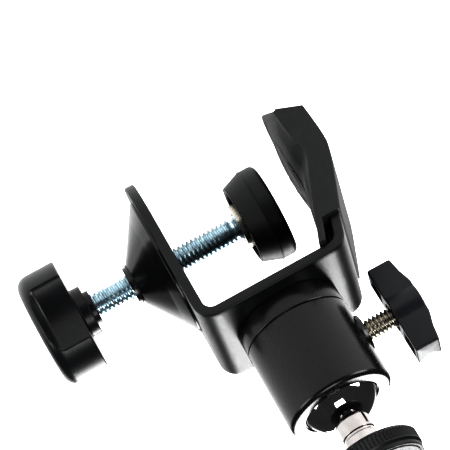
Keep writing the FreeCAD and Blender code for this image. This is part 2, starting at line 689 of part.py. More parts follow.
# ---------------------------------------------------------------------------------------------
# wing screw
# ---------------------------------------------------------------------------------------------
def wing_screw():
    """Brake shoe that presses on the ball, the screw behind it, and the wing knob."""
    shoe = cylinder("ShoePin", "set_radius", "set_tip - running_gap - 3", HEAD_X + " - 3", "0",
                    "wing_height", ALONG_MINUS_X)
    ball_room = sphere("ShoeRoom", "ball_radius + running_gap", HEAD_X, "0", BALL_Z)
    node("brake_shoe", cut("BrakeShoe", shoe, [ball_room]))

    deep = "wing_insert_length"
    node("set_screw", cylinder("SetScrew", "set_radius", "wing_face - set_tip + " + deep,
                               HEAD_X + " - set_tip", "0", "wing_height", ALONG_MINUS_X))
    sleeve = cylinder("WingSleeve", "wing_insert", deep, HEAD_X + " - wing_face", "0", "wing_height",
                      ALONG_MINUS_X)
    sleeve_bore = cylinder("WingBore", "set_radius + fit_gap", deep + " + 2 * overrun",
                           HEAD_X + " - wing_face + overrun", "0", "wing_height", ALONG_MINUS_X)
    node("wing_insert", cut("WingInsert", sleeve, [sleeve_bore]))

    half = "wing_length / 2"
    corners = [
        ("0", "-(%s)" % half),
        ("-wing_depth", "-(%s)" % half),
        ("-wing_depth - 0.7", "-wing_length / 3"),
        ("-wing_crown", "-wing_hub"),
        ("-wing_crown", "wing_hub"),
        ("-wing_depth - 0.7", "wing_length / 3"),
        ("-wing_depth", half),
        ("0", half),
    ]
    wings = plate("Wings", "XZ_Plane", corners, "wing_breadth")
    place(wings, HEAD_X + " - wing_face", "0", "wing_height")
    hub = cylinder("WingHub", "wing_hub", "wing_crown", HEAD_X + " - wing_face", "0", "wing_height",
                   ALONG_MINUS_X)
    room = cylinder("WingRoom", "wing_insert + fit_gap", deep + " + 1 + fit_gap",
                    HEAD_X + " - wing_face + 1", "0", "wing_height", ALONG_MINUS_X)
    node("wing_knob", cut("WingKnob", fuse("WingBlank", [wings, hub]), [room]))


def check_and_write():
    """Recompute, make sure that every piece is sound, and write one file for each."""
    doc.recompute()
    for thing in doc.Objects:
        if "Invalid" in thing.State or "Error" in thing.State:
            raise RuntimeError("%s did not build: %s" % (thing.Label, thing.State))
    os.makedirs("parts", exist_ok=True)
    for name, thing in NODES.items():
        shape = thing.Shape
        if shape.isNull() or not shape.isValid():
            raise RuntimeError(name + " has no valid shape")
        box = shape.BoundBox
        print("%-16s solids %d volume %9.1f  x %7.2f %7.2f  y %7.2f %7.2f  z %7.2f %7.2f" % (
            name, len(shape.Solids), shape.Volume, box.XMin, box.XMax, box.YMin, box.YMax,
            box.ZMin, box.ZMax))
        shape.exportStep(os.path.join("parts", name + ".step"))


bent_frame()
screw_boss()
jaw_boot()
clamp_screw()
star_knob()
swivel_pad()
head_base()
head_housing()
ball_and_platform()
wing_screw()
check_and_write()
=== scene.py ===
"""Looks of a table clamp with a ball head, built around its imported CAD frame.

The frame's origin is where the clamped thing meets the fixed jaw.  +X runs along the clamp screw
towards its star knob, +Z along the ball head's axis away from the jaws, and Y is the strip's
width.  Sizes in the classes are millimetres, and meshes are in metres.
"""

import logging
import math
from dataclasses import dataclass
from enum import Enum
from typing import Callable, Sequence

import bmesh
import bpy
import numpy as np
from mathutils import Matrix, Vector


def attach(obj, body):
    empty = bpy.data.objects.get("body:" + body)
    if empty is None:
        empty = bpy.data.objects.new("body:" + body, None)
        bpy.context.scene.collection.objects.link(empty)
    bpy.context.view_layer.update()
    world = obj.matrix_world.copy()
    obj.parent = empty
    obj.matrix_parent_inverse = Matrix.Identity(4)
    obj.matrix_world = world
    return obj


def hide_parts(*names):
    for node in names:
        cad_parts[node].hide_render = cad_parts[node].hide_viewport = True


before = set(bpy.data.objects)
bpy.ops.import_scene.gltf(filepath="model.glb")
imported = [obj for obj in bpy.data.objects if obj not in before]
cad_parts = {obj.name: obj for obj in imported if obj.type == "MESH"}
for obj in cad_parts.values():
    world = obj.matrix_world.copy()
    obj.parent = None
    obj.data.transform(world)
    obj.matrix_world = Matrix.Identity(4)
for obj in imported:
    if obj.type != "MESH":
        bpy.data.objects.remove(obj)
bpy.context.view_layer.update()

LOG = logging.getLogger("clamp")
MM = 0.001
WELD_MM = 0.002
SHARP_DEG = 32.0
COAT_ROUGHNESS = 0.08
WAVE_PERIOD = 0.314  # length of one band of a wave texture whose scale is 1

HEAD_AXIS_X = 26.3
LOCK_AXIS_Z = 49.3
QUARTER_INCH_RADIUS = 3.175
QUARTER_INCH_PITCH = 1.27

Array = np.ndarray
Socket = bpy.types.NodeSocket
Ripple = Callable[[Array, Array, Array], Array]


class Axis(Enum):
    """Which way a turned piece's axis points, as (along, first, second) unit vectors."""

    PLUS_X = ((1, 0, 0), (0, 1, 0), (0, 0, 1))
    MINUS_X = ((-1, 0, 0), (0, 0, 1), (0, 1, 0))
    PLUS_Z = ((0, 0, 1), (1, 0, 0), (0, 1, 0))


# --- colours and nodes ---
def srgb(code: str) -> tuple[float, float, float, float]:
    """Turn an sRGB hex colour to the linear one that shaders take.

    Args:
        code: six hexadecimal digits.
    Returns:
        Red, green, blue and an alpha of 1.
    """
    parts = np.array([int(code[i:i + 2], 16) for i in (0, 2, 4)]) / 255.0
    linear = np.where(parts <= 0.04045, parts / 12.92, ((parts + 0.055) / 1.055) ** 2.4)
    return (*linear.tolist(), 1.0)


def link(name: str, data: bpy.types.ID) -> bpy.types.Object:
    """Put a new object that holds the data in the scene."""
    made = bpy.data.objects.new(name, data)
    bpy.context.scene.collection.objects.link(made)
    return made


def add(tree: bpy.types.NodeTree, kind: str, inputs: dict | None = None, **settings) -> bpy.types.Node:
    """Add a node with its settings, and link or set its inputs.

    Args:
        tree: the tree to add to.
        kind: the node's type name.
        inputs: values or output sockets for the node's inputs, by name or index.
        settings: attributes of the node.
    Returns:
        The node.
    """
    made = tree.nodes.new(kind)
    for key, value in settings.items():
        setattr(made, key, value)
    for key, value in (inputs or {}).items():
        if isinstance(value, Socket):
            tree.links.new(value, made.inputs[key])
        else:
            made.inputs[key].default_value = value
    return made


# --- finishes ---
@dataclass(frozen=True)
class Finish:
    """A surface with a slow drift of tone and a fine grain in its gloss and its relief."""

    label: str
    light: str
    dark: str
    roughness: float
    metallic: float = 0.0
    specular: float = 0.5
    coat: float = 0.0
    gloss_swing: float = 0.08
    drift_mm: float = 9.0
    grain_mm: float = 0.5
    relief_mm: float = 0.02

    def relief(self, tree: bpy.types.NodeTree, place: Socket, grain: Socket) -> Socket:
        """Return the height that the bump reads: here the grain alone."""
        return grain

    def build(self) -> bpy.types.Material:
        """Build the material.

        Returns:
            A material whose tone, gloss and relief come from noise in Object coordinates.
        """
        made = bpy.data.materials.new(self.label)
        made.use_nodes = True
        tree = made.node_tree
        shader = tree.nodes["Principled BSDF"]
        place = add(tree, "ShaderNodeTexCoord").outputs["Object"]
        drift = add(tree, "ShaderNodeTexNoise", {
            "Vector": place, "Scale": 1.0 / (self.drift_mm * MM), "Detail": 3.0, "Roughness": 0.55})
        grain = add(tree, "ShaderNodeTexNoise", {
            "Vector": place, "Scale": 1.0 / (self.grain_mm * MM), "Detail": 2.0, "Roughness": 0.6})
        tone = add(tree, "ShaderNodeValToRGB", {"Fac": drift.outputs["Fac"]})
        tone.color_ramp.elements[0].position = 0.3
        tone.color_ramp.elements[0].color = srgb(self.dark)
        tone.color_ramp.elements[1].position = 0.7
        tone.color_ramp.elements[1].color = srgb(self.light)
        gloss = add(tree, "ShaderNodeMapRange",
                    {"Value": grain.outputs["Fac"], "From Min": 0.25, "From Max": 0.75,
                     "To Min": max(self.roughness - self.gloss_swing, 0.02),
                     "To Max": min(self.roughness + self.gloss_swing, 1.0)})
        height = self.relief(tree, place, grain.outputs["Fac"])
        bump = add(tree, "ShaderNodeBump", {"Height": height, "Strength": 1.0,
                                            "Distance": self.relief_mm * MM})
        tree.links.new(tone.outputs["Color"], shader.inputs["Base Color"])
        tree.links.new(gloss.outputs["Result"], shader.inputs["Roughness"])
        tree.links.new(bump.outputs["Normal"], shader.inputs["Normal"])
        shader.inputs["Metallic"].default_value = self.metallic
        shader.inputs["Specular IOR Level"].default_value = self.specular
        shader.inputs["Coat Weight"].default_value = self.coat
        shader.inputs["Coat Roughness"].default_value = COAT_ROUGHNESS
        return made


@dataclass(frozen=True)
class TurnedFinish(Finish):
    """A finish over the fine rings that a lathe tool leaves around an axis along Z."""

    ring_mm: float = 0.35
    grain_share: float = 0.45

    def relief(self, tree: bpy.types.NodeTree, place: Socket, grain: Socket) -> Socket:
        """Return rings stacked along Z, with a little grain.

        Args:
            tree: the material's nodes.
            place: Object coordinates.
            grain: the fine noise.
        Returns:
            The height socket.
        """
        moved = add(tree, "ShaderNodeMapping",
                    {"Vector": place, "Location": (-HEAD_AXIS_X * MM, 0.0, 0.0)})
        across = add(tree, "ShaderNodeTexWave",
                     {"Vector": moved.outputs["Vector"], "Scale": WAVE_PERIOD / (self.ring_mm * MM),
                      "Distortion": 0.4, "Detail": 1.0}, wave_type="BANDS", bands_direction="Z")
        mixed = add(tree, "ShaderNodeMix",
                    {"Factor": self.grain_share, "A": across.outputs["Fac"], "B": grain}, data_type="FLOAT")
        return mixed.outputs["Result"]


# Satin powder coat on bent steel: near-black, with a soft orange-peel gloss.
POWDER_COAT = Finish("satin_powder_coat", "131414", "0e0f0f", 0.38, specular=0.28, grain_mm=0.9,
                     relief_mm=0.012, gloss_swing=0.05)
# Gloss stove enamel on the pressed boss: deep black with sharp highlights.
STOVE_ENAMEL = Finish("gloss_stove_enamel", "0c0c0d", "090a0a", 0.22, specular=0.3, coat=0.12,
                      grain_mm=1.4, relief_mm=0.006, gloss_swing=0.04)
# Moulded rubber of the jaw boot: dull charcoal with a paler bloom in patches.
BOOT_RUBBER = Finish("moulded_boot_rubber", "1e1f1f", "171818", 0.58, specular=0.3, grain_mm=0.45,
                     relief_mm=0.02, drift_mm=6.0)
# Moulded rubber of the swivel pad: a darker mix, slightly polished where it is handled.
PAD_RUBBER = Finish("moulded_pad_rubber", "141516", "0f1011", 0.44, specular=0.25, grain_mm=0.5,
                    relief_mm=0.015)
# Glass-filled nylon of the star knob: spark-eroded mould texture with a soft sheen.
GLASS_NYLON = Finish("glass_filled_nylon", "121315", "0d0e10", 0.33, specular=0.28, grain_mm=0.4,
                     relief_mm=0.008)
# ABS of the wing knob: slightly bluish black, even satin.
ABS_PLASTIC = Finish("moulded_abs", "17181c", "121317", 0.38, specular=0.28, grain_mm=0.35,
                     relief_mm=0.006)
# Blue-passivated zinc on the clamp screw: cool grey with a faint blue bloom.
BLUE_ZINC = Finish("blue_passivated_zinc", "c9d6da", "9fb0b8", 0.30, metallic=1.0, drift_mm=2.5,
                   grain_mm=0.3, relief_mm=0.004, gloss_swing=0.1)
# Nickel plate on the wing screw and the swivel cup: warm pale grey.
NICKEL_PLATE = Finish("nickel_plate", "b9b5ac", "98948b", 0.28, metallic=1.0, drift_mm=2.5,
                      grain_mm=0.3, relief_mm=0.003)
# Black oxide on small steel parts: nearly black, with an oily sheen.
BLACK_OXIDE = Finish("black_oxide_steel", "111213", "0b0c0d", 0.26, specular=0.4, grain_mm=0.4,
                     relief_mm=0.003)
# Bare turned brass of the inserts and the brake shoe.
TURNED_BRASS = Finish("turned_brass", "d2b36a", "b08f48", 0.30, metallic=1.0, grain_mm=0.4,
                      relief_mm=0.004)
# Semi-gloss black paint on turned aluminium: wide soft highlights and faint tool rings.
HEAD_PAINT = TurnedFinish("black_head_paint", "0e0e0f", "0a0a0b", 0.26, specular=0.3, coat=0.06,
                          grain_mm=0.9, relief_mm=0.002, gloss_swing=0.03)
# Bare turned aluminium of the hidden cradle.
BARE_ALLOY = TurnedFinish("bare_turned_alloy", "b9bbbd", "a0a2a5", 0.35, metallic=1.0,
                          relief_mm=0.01)
# Black anodised platform: matt, with finer tool rings.
PLATFORM_ANODISE = TurnedFinish("matt_black_anodise", "111213", "0c0d0e", 0.40, specular=0.3,
                                relief_mm=0.006)
# Polished chrome of the ball and its stem: mirror with the faintest haze.
CHROME = Finish("polished_chrome", "a3a1a0", "8b8785", 0.05, metallic=1.0, gloss_swing=0.02,
                grain_mm=1.2, relief_mm=0.0006)
# Acetal seat ring: milky white and waxy.
ACETAL = Finish("white_acetal", "ecebe6", "dddcd6", 0.34, grain_mm=0.6, relief_mm=0.004)
# Zinc-plated steel of the camera-type stud.
BRIGHT_ZINC = Finish("bright_zinc_steel", "c6cacd", "a3a8ac", 0.26, metallic=1.0, drift_mm=2.0,
                     grain_mm=0.3, relief_mm=0.003)

SLOT_FINISH = {
    "frame_steel": POWDER_COAT, "boss_paint": STOVE_ENAMEL, "boot_rubber": BOOT_RUBBER,
    "pad_rubber": PAD_RUBBER, "knob_plastic": GLASS_NYLON, "wing_plastic": ABS_PLASTIC,
    "rod_zinc": BLUE_ZINC, "set_nickel": NICKEL_PLATE, "bush_steel": BLACK_OXIDE,
    "insert_brass": TURNED_BRASS, "cup_steel": NICKEL_PLATE, "head_alloy": HEAD_PAINT,
    "cradle_alloy": BARE_ALLOY, "seat_acetal": ACETAL, "shoe_brass": TURNED_BRASS,
    "ball_chrome": CHROME, "stem_chrome": CHROME, "platform_alloy": PLATFORM_ANODISE,
    "facing_rubber": PAD_RUBBER, "stud_steel": BRIGHT_ZINC, "base_screw_steel": BLACK_OXIDE,
}


class Paint:
    """Builds each finish once and puts it on pieces."""

    def __init__(self) -> None:
        """Start with no material built."""
        self.built: dict[str, bpy.types.Material] = {}

    def of(self, slot: str) -> bpy.types.Material:
        """Return the material of one of the record's slots, built on first use."""
        finish = SLOT_FINISH[slot]
        if finish.label not in self.built:
            self.built[finish.label] = finish.build()
        return self.built[finish.label]

    def dress(self, piece: bpy.types.Object, slot: str) -> None:
        """Give a new piece its material."""
        piece.data.materials.clear()
        piece.data.materials.append(self.of(slot))

    def dress_cad(self) -> None:
        """Give each CAD node that stays in view the better material of its own slot."""
        for name, slot in CAD_SLOTS.items():
            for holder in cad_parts[name].material_slots:
                holder.material = self.of(slot)


CAD_SLOTS = {
    "thread_bush": "bush_steel", "knob_insert": "insert_brass", "swivel_ball": "rod_zinc",
    "pad_cup": "cup_steel", "base_screw": "base_screw_steel", "ball_cradle": "cradle_alloy",
    "seat_ring": "seat_acetal", "brake_shoe": "shoe_brass", "wing_insert": "insert_brass",
}


# --- surfaces on grids ---
def grid_quads(rows: int, columns: int, loop_rows: bool) -> Array:
    """Number the corners of a grid's faces; its columns always close on themselves.

    Args:
        rows: number of rows of points.
        columns: number of points in a row.
        loop_rows: whether the last row joins the first.
    Returns:
        An array of faces, four point numbers each.
    """
    starts = np.arange(rows if loop_rows else rows - 1)
    row, column = np.meshgrid(starts, np.arange(columns), indexing="ij")
    next_row, next_column = (row + 1) % rows, (column + 1) % columns
    corners = [row * columns + column, row * columns + next_column,
               next_row * columns + next_column, next_row * columns + column]
    return np.stack(corners, axis=-1).reshape(-1, 4)


def piece(name: str, grids: Sequence[tuple[Array, bool]],
          sharp_deg: float = SHARP_DEG) -> bpy.types.Object:
    """Make one object from closed grids of points in millimetres.

    Args:
        name: the object's name.
        grids: (points[row, column, 3], whether the rows close into a loop) for each shell.
        sharp_deg: edges that turn by more than this keep a crease.
    Returns:
        The object, welded, with outward faces and smooth shading between creases.
    """
    points, quads, count = [], [], 0
    for grid, loop_rows in grids:
        points.append(grid.reshape(-1, 3))
        quads.append(grid_quads(grid.shape[0], grid.shape[1], loop_rows) + count)
        count += grid.shape[0] * grid.shape[1]
    where, faces = np.concatenate(points) * MM, np.concatenate(quads)
    mesh = bpy.data.meshes.new(name)
    mesh.vertices.add(len(where))
    mesh.vertices.foreach_set("co", where.astype(np.float32).ravel())
    mesh.loops.add(faces.size)
    mesh.loops.foreach_set("vertex_index", faces.astype(np.int32).ravel())
    mesh.polygons.add(len(faces))
    mesh.polygons.foreach_set("loop_start", np.arange(0, faces.size, 4, dtype=np.int32))
    mesh.update(calc_edges=True)
    work = bmesh.new()
    work.from_mesh(mesh)
    bmesh.ops.remove_doubles(work, verts=work.verts, dist=WELD_MM * MM)
    bmesh.ops.dissolve_degenerate(work, edges=work.edges, dist=WELD_MM * MM * 0.5)
    bmesh.ops.recalc_face_normals(work, faces=work.faces)
    work.to_mesh(mesh)
    work.free()
    mesh.shade_smooth()
    mesh.set_sharp_from_angle(angle=math.radians(sharp_deg))
    return link(name, mesh)


def filleted(corners: Sequence[tuple[float, float, float]], closed: bool = False,
             steps: int = 6) -> Array:
    """Round the corners of a profile.

    An arc's centre lies on its corner's bisector, and its ends lie the radius over the tangent of
    half the angle away along each side.

    Args:
        corners: (along, out, radius) of each corner.
        closed: whether the last corner joins the first.
        steps: number of straight pieces in each arc.
    Returns:
        The profile's points, (along, out).
    """
    spots = np.array([(a, b) for a, b, _ in corners], float)
    line = []
    for index, (_, _, radius) in enumerate(corners):
        here = spots[index]
        if radius <= 0 or (not closed and index in (0, len(corners) - 1)):
            line.append(here[None])
            continue
        back = spots[index - 1] - here
        on = spots[(index + 1) % len(spots)] - here
        back, on = back / np.linalg.norm(back), on / np.linalg.norm(on)
        half = math.acos(max(-1.0, min(1.0, float(back @ on)))) / 2
        reach = radius / math.tan(half)
        middle = back + on
        centre = here + middle / np.linalg.norm(middle) * radius / math.sin(half)
        start, end = here + back * reach - centre, here + on * reach - centre
        share = np.linspace(0, 1, steps + 1)[:, None]
        sweep = math.pi - 2 * half
        arc = (np.sin((1 - share) * sweep) * start + np.sin(share * sweep) * end) / math.sin(sweep)
        line.append(centre + arc)
    return np.concatenate(line)


def turned(profile: Array, axis: Axis, origin: tuple[float, float, float], segments: int = 96,
           ripple: Ripple | None = None) -> Array:
    """Turn a profile about an axis.

    Args:
        profile: (along, radius) of each point.
        axis: which way the axis points.
        origin: a point on the axis.
        segments: points round the axis.
        ripple: changes the radius from (along, radius, angle), all as arrays.
    Returns:
        The grid of points.
    """
    along, first, second = (np.array(v, float) for v in axis.value)
    angle = np.arange(segments) * 2 * math.pi / segments
    distance, radius = profile[:, :1], profile[:, 1:] * np.ones((1, segments))
    if ripple is not None:
        radius = ripple(distance, radius, angle[None])
    out = np.cos(angle)[:, None] * first + np.sin(angle)[:, None] * second
    return np.array(origin, float) + distance[..., None] * along + radius[..., None] * out[None]


def thread_grid(start: float, end: float, radius: float, pitch: float, axis: Axis,
                origin: tuple[float, float, float], segments: int = 48) -> Array:
    """A right-hand screw thread on a rod with chamfered ends.

    The radius is the thread's root plus its depth times a flat-topped tooth, whose phase is the
    distance over the pitch less the share of a turn.  Near each end a 45-degree cone cuts it.

    Args:
        start: where the thread begins along the axis.
        end: where it ends.
        radius: outside radius.
        pitch: distance between threads.
        axis: which way the axis points.
        origin: where the distances are measured from.
        segments: points round the rod.
    Returns:
        The grid of points, with both ends closed.
    """
    rows_a_turn, root_share, flank_share = 12, 0.1, 0.72
    depth = 0.66 * pitch
    rows = np.linspace(start, end, int((end - start) / pitch * rows_a_turn) + 1)
    profile = np.stack([np.concatenate([[start], rows, [end]]),
                        np.concatenate([[0.0], np.full(len(rows), radius), [0.0]])], axis=-1)

    def tooth(distance: Array, full: Array, angle: Array) -> Array:
        """Cut the thread into the full radius, in the words above."""
        phase = np.mod(distance / pitch - angle / (2 * math.pi), 1.0)
        rise = np.clip((1.0 - np.abs(2 * phase - 1) - root_share) / flank_share, 0.0, 1.0)
        cone = radius - depth * 0.9 + np.minimum(distance - start, end - distance)
        return np.where(full > 0, np.minimum(radius - depth * (1 - rise), cone), 0.0)

    return turned(profile, axis, origin, segments, tooth)


@dataclass(frozen=True)
class Ring:
    """Round of a plate's section: width share, inset, side and depth of each of its points.

    share runs from -1 to 1 over the half width, inset and depth are in edge radii, and side is 0
    on the first face and 1 on the second.
    """

    share: Array
    inset: Array
    side: Array
    depth: Array

    @staticmethod
    def of(across: int, arc: int = 4) -> "Ring":
        """Lay the points out: first face, corner, corner, second face, corner, corner.

        Args:
            across: points across each face.
            arc: straight pieces in each corner.
        Returns:
            The ring.
        """
        turn = np.linspace(0, math.pi / 2, arc + 1)
        rise, fall = 1 - np.sin(turn), 1 - np.cos(turn)
        face = np.linspace(-1, 1, across)[1:-1]
        one, none = np.ones_like, np.zeros_like
        share = [face, one(turn), one(turn), -face, -one(turn), -one(turn)]
        inset = [one(face), rise, rise[::-1], one(face), rise, rise[::-1]]
        side = [none(face), none(turn), one(turn), one(face), one(turn), none(turn)]
        depth = [none(face), fall, fall[::-1], none(face), fall, fall[::-1]]
        return Ring(*(np.concatenate(part) for part in (share, inset, side, depth)))

    def flat(self) -> Array:
        """Return which points lie on the first face, off its rounded edges."""
        return (self.side == 0) & (self.inset == 1) & (self.depth == 0)

    def depths(self, edge: float, thick: Array | float) -> Array:
        """Return how far each point lies behind the first face of a plate."""
        depth = self.depth * edge
        return np.where(self.side > 0, thick - depth, depth)


def round_end_rows(radius: float, ring: Ring, edge: float, cap: int = 22) -> tuple[Array, Array]:
    """Rows of a strip's semicircular end.

    The distance along is the radius less the inset radius times the cosine of the end's angle,
    and the width is the inset radius times its sine.

    Args:
        radius: half the strip's width.
        ring: the section's points.
        edge: radius of the rounded edges.
        cap: straight pieces in the end's quarter.
    Returns:
        The distance along and the place across, each [row, ring point].
    """
    inner = (radius - ring.inset * edge)[None]
    turn = np.linspace(0, math.pi / 2, cap + 1)[:, None]
    return radius - inner * np.cos(turn), inner * np.sin(turn) * ring.share[None]


# --- the bent frame ---
@dataclass(frozen=True)
class Oval:
    """A raised elliptical line: height of its middle, half sizes, share of them, rise and breadth."""

    middle_z: float
    half_y: float
    half_z: float
    share: float
    rise: float
    breadth: float

    def stand(self, y: Array, z: Array) -> Array:
        """Return how far the line stands out: a narrow bell of how far a point lies from it."""
        reach = np.hypot(y / self.half_y, (z - self.middle_z) / self.half_z)
        return self.rise * np.exp(-((reach - self.share) / self.breadth) ** 2)


OVALS = (Oval(-8.0, 9.0, 11.0, 1.0, 0.3, 0.05), Oval(-8.0, 9.0, 11.0, 0.55, 0.22, 0.09),
         Oval(15.0, 12.0, 9.0, 1.0, 0.22, 0.06))


@dataclass
class BentFrame:
    """The steel strip, the conical boss on its flange and the rubber boot on its jaw."""

    width: float = 43.0
    thick: float = 3.0
    bend: float = 3.0
    edge: float = 0.45
    flange_x: float = 46.8
    jaw_foot_x: float = 5.8
    jaw_x: float = -2.464
    bend_z: float = 1.5
    web_z: float = 29.4
    flange_tip: float = -27.0
    jaw_lean: float = 16.5
    jaw_kick: float = 3.5
    boot_lean: float = 20.7
    boot_side: float = 2.0
    boot_wall: float = 2.2
    hem_wall: float = 0.6
    hem_z: float = 22.4
    tab_z: float = 29.0
    tab_thick: float = 2.0
    shoulder_z: float = -15.8
    gable_slope: float = 0.65
    gable_soft: float = 3.0
    tip_middle: float = 3.8
    tip_slant: float = 3.0
    crown: float = 3.6
    crown_z: float = -2.0
    crown_below: float = 24.0
    crown_above: float = 16.0
    lip_rise: float = 0.5
    lip_width: float = 2.2
    lip_top_z: float = -4.0
    boss_x: float = 49.8

    @property
    def boot_half(self) -> float:
        """Half the boot's width."""
        return self.width / 2 + self.boot_side

    def strip(self) -> bpy.types.Object:
        """The strip: its inner line with rounded bends, offset outwards by the depth of each point.

        Returns:
            The bracket.
        """
        side = self.boot_side
        tip = float(self.tip_z(np.zeros(1), side)[0])
        jaw_end_x = self.jaw_x + (self.bend_z - tip) * math.tan(math.radians(self.jaw_kick))
        line = filleted([
            (self.flange_x, self.flange_tip, 0), (self.flange_x, self.web_z, self.bend),
            (self.jaw_foot_x, self.web_z, self.bend), (self.jaw_x, self.bend_z, self.bend),
            (jaw_end_x, tip, 0)], steps=14)
        gaps = np.linalg.norm(np.diff(line, axis=0), axis=1)
        distance = np.concatenate([[0.0], np.cumsum(gaps)])
        leg_rows, smooth_over = 360, 25
        fine = np.linspace(0, distance[-1], 3000)
        x, z = np.interp(fine, distance, line[:, 0]), np.interp(fine, distance, line[:, 1])
        heading = np.unwrap(np.arctan2(np.gradient(z), np.gradient(x)))
        smooth = np.convolve(np.pad(heading, smooth_over // 2, mode="edge"),
                             np.ones(smooth_over) / smooth_over, mode="valid")
        ring, half = Ring.of(27), self.width / 2
        along, across = round_end_rows(half, ring, self.edge)
        share = across[-1:] * np.ones((leg_rows, 1))
        last = distance[-1] - (self.tip_z(share, side) - tip) - (ring.inset * self.edge)[None]
        rise = np.linspace(0, 1, leg_rows)[:, None]
        along = np.concatenate([along, half + (last - half) * rise])
        across = np.concatenate([across, share])
        turn = np.interp(along, fine, smooth)
        depth = ring.depths(self.edge, self.thick)[None] * np.ones_like(along)
        along, across, turn, depth = (
            np.concatenate([part, part[-1:]]) for part in (along, across, turn, depth))
        depth[-1] = self.thick / 2
        grid = np.stack([np.interp(along, fine, x) + np.sin(turn) * depth, across,
                         np.interp(along, fine, z) - np.cos(turn) * depth], axis=-1)
        return piece("bent_strip", [(grid, False)])

    def boss(self) -> bpy.types.Object:
        """The conical boss: a straight rim, a slightly hollow cone and a small lip at its tip."""
        corners = [(0, 5.23, 0), (0, 21.5, 0.1), (0.8, 21.5, 0.3), (3.4, 17.1, 6.0), (10.2, 6.9, 0.6),
                   (10.4, 6.5, 0.1), (11.0, 6.45, 0.2), (11.0, 5.23, 0)]
        profile = filleted(corners, closed=True)
        return piece("pressed_boss", [(turned(profile, Axis.PLUS_X, (self.boss_x, 0, 0), 128), True)])

    def grip_x(self, z: Array) -> Array:
        """x of the boot's inner face: leaning back below the bend and outwards above it."""
        lower = (z - self.bend_z) * math.tan(math.radians(self.boot_lean))
        upper = (self.bend_z - z) * math.tan(math.radians(self.jaw_kick))
        blend, log_two, reach = 0.8, 0.6931, 4.0
        dip = log_two * np.exp(-((z - self.bend_z) / reach) ** 2)
        return blend * np.logaddexp(lower / blend, upper / blend) - blend * dip

    def leg_x(self, z: Array, offset: Array | float, soft: float) -> Array:
        """x of a face set off outwards from the steel's inner one, with a rounded bend.

        Args:
            z: heights.
            offset: distance outwards from the steel's inner face.
            soft: how far the bend's rounding spreads.
        Returns:
            x at each height.
        """
        lean, kick = math.radians(self.jaw_lean), math.radians(self.jaw_kick)
        lower = self.jaw_x + (z - self.bend_z) * math.tan(lean) - offset / math.cos(lean)
        upper = self.jaw_x + (self.bend_z - z) * math.tan(kick) - offset / math.cos(kick)
        return soft * np.logaddexp(lower / soft, upper / soft)

    def tip_z(self, y: Array, inset: float) -> Array:
        """Lowest height of the jaw's outline at a place across: a gable with a rounded point.

        The drop from the shoulder is the slope times the distance from the side, where the
        distance from the middle is a hyperbola instead of an absolute value.

        Args:
            y: places across.
            inset: how far the outline is set in from the boot's own.
        Returns:
            The heights.
        """
        soft = self.gable_soft ** 2
        run = np.sqrt(self.boot_half ** 2 + soft) - np.sqrt(y ** 2 + soft)
        return self.shoulder_z - self.gable_slope * run + inset * math.hypot(1.0, self.gable_slope)

    def leg_rows(self, ring: Ring, edge: float, half: float, inset: float,
                 slant: float) -> tuple[Array, Array]:
        """Heights and places across for the boot's skin or its room, from the gabled tip to the hem.

        Each point keeps its share of the width on every row.  Its height runs evenly from the
        outline's own height there up to the hem.

        Args:
            ring: the section's points.
            edge: radius of the rounded edges.
            half: half the width.
            inset: how far the tip is set in from the boot's own outline.
            slant: how far the tip of the outer face stands back from that of the grip face.
        Returns:
            Heights and places across, each [row, ring point].
        """
        across = ((half - ring.inset * edge) * ring.share)[None]
        start = self.tip_z(across, inset) + (ring.inset * edge + ring.side * slant)[None]
        rise = np.linspace(0, 1, 110)[:, None]
        height = start + (self.hem_z - start) * rise
        return height, across * np.ones_like(rise)

    def tip_wall(self, row: Array, inset: float, lift: float) -> Array:
        """Close the boot's tip or its room: every point of the row moves to the wall's middle line.

        The two faces' points mirror each other, so a point and its mirror meet there.

        Args:
            row: the tip's row, [1, ring point, 3].
            inset: how far the tip is set in from the boot's own outline.
            lift: height of the wall's middle above that outline.
        Returns:
            The closing row.
        """
        closing = row.copy()
        closing[..., 2] = self.tip_z(row[..., 1], inset) + lift
        closing[..., 0] = self.grip_x(closing[..., 2]) - self.tip_middle
        return closing

    def relief(self, y: Array, z: Array) -> Array:
        """Raised lip round the jaw's tip, moulded ovals and the crown of the grip face.

        The lip is a smooth step of the distance to the boot's outline, and fades above lip_top_z.
        The crown is a wide bell of the height, falling to nothing at the sides.

        Args:
            y: places across.
            z: heights.
        Returns:
            How far the rubber stands out.
        """
        slope_share, lip_soft, lip_fade, side_power, edge_run = 0.84, 0.15, 3.0, 3.5, 7.0
        edge = np.minimum(self.boot_half - np.abs(y), (z - self.tip_z(y, 0.0)) * slope_share)
        lip = self.lip_rise / (1 + np.exp((edge - self.lip_width) / lip_soft))
        lip = lip / (1 + np.exp((z - self.lip_top_z) / lip_fade))
        ovals = sum(oval.stand(y, z) for oval in OVALS)
        spread = np.where(z < self.crown_z, self.crown_below, self.crown_above)
        sides = np.clip(1 - np.abs(y / self.boot_half) ** side_power, 0, 1)
        fall = sides * np.clip(edge / edge_run, 0, 1) ** 0.5
        crown = self.crown * np.exp(-((z - self.crown_z) / spread) ** 2) * fall
        return lip + ovals + crown

